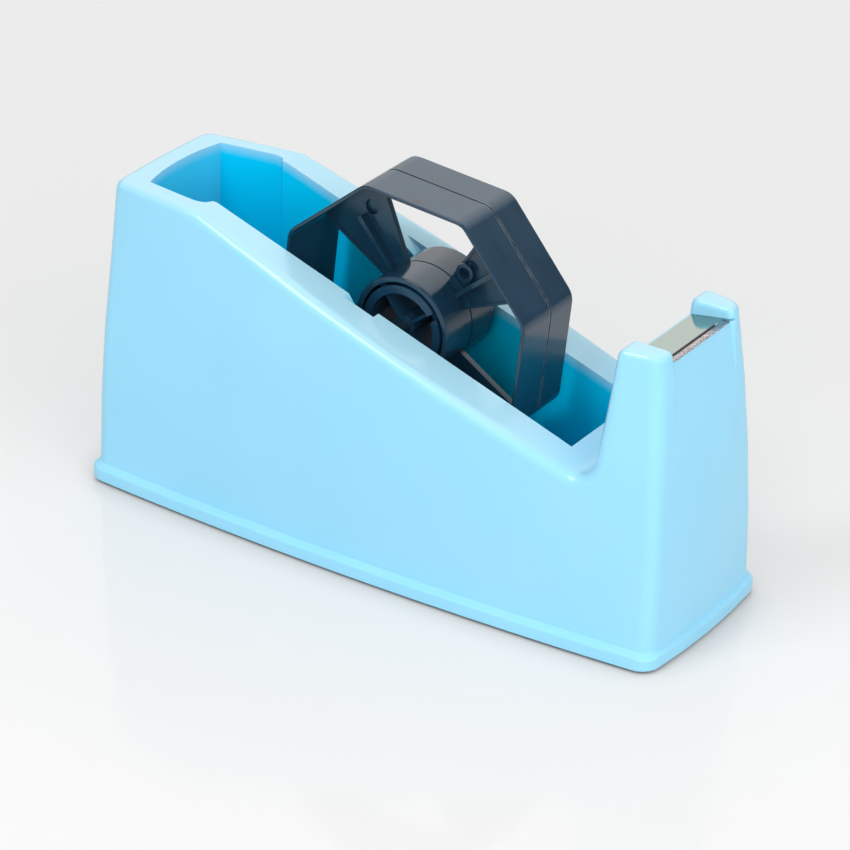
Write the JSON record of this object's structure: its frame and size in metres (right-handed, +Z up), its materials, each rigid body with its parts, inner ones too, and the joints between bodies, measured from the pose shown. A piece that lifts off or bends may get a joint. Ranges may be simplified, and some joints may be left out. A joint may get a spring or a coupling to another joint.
{
  "type": "tape dispenser",
  "caption": "Desk tape dispenser: weighted plastic housing with a deep tape well, a serrated steel cutter on a front tower, and a lift-out core wheel.",
  "frame": {"origin": "centre of the pad's underside", "axes": "+X along the dispenser towards the blade, +Y across it, +Z up"},
  "size_m": [0.1704, 0.0604, 0.0971],
  "materials": {
    "housing_plastic": "light blue, glossy moulded ABS",
    "blade_steel": "bright rolled steel strip",
    "plate_plastic": "dark moulded plastic",
    "pad_foam": "dark matt foam rubber",
    "weight_iron": "rough cast",
    "screw_steel": "zinc plated",
    "wheel_plastic": "charcoal satin moulded plastic",
    "drum_plastic": "charcoal satin moulded plastic",
    "axle_plastic": "black satin plastic"
  },
  "bodies": {
    "base": {"housing": "housing_plastic", "blade": "blade_steel", "base_plate": "plate_plastic", "pad": "pad_foam", "front_weight": "weight_iron", "floor_weight": "weight_iron", "plate_screws": "screw_steel"},
    "axle": {"axle": "axle_plastic"},
    "wheel": {"adapter_near": "wheel_plastic", "adapter_far": "wheel_plastic", "drum": "drum_plastic"}
  },
  "joints": [
    {"name": "axle_lift", "type": "slide", "parent": "base", "child": "axle", "axis": [-0.7771, 0, 0.6293], "range_m": [0, 0.03]},
    {"name": "wheel_spin", "type": "hinge", "parent": "axle", "child": "wheel", "pos_m": [0, 0, 0.0615], "axis": [0, 1, 0], "continuous": true}
  ]
}
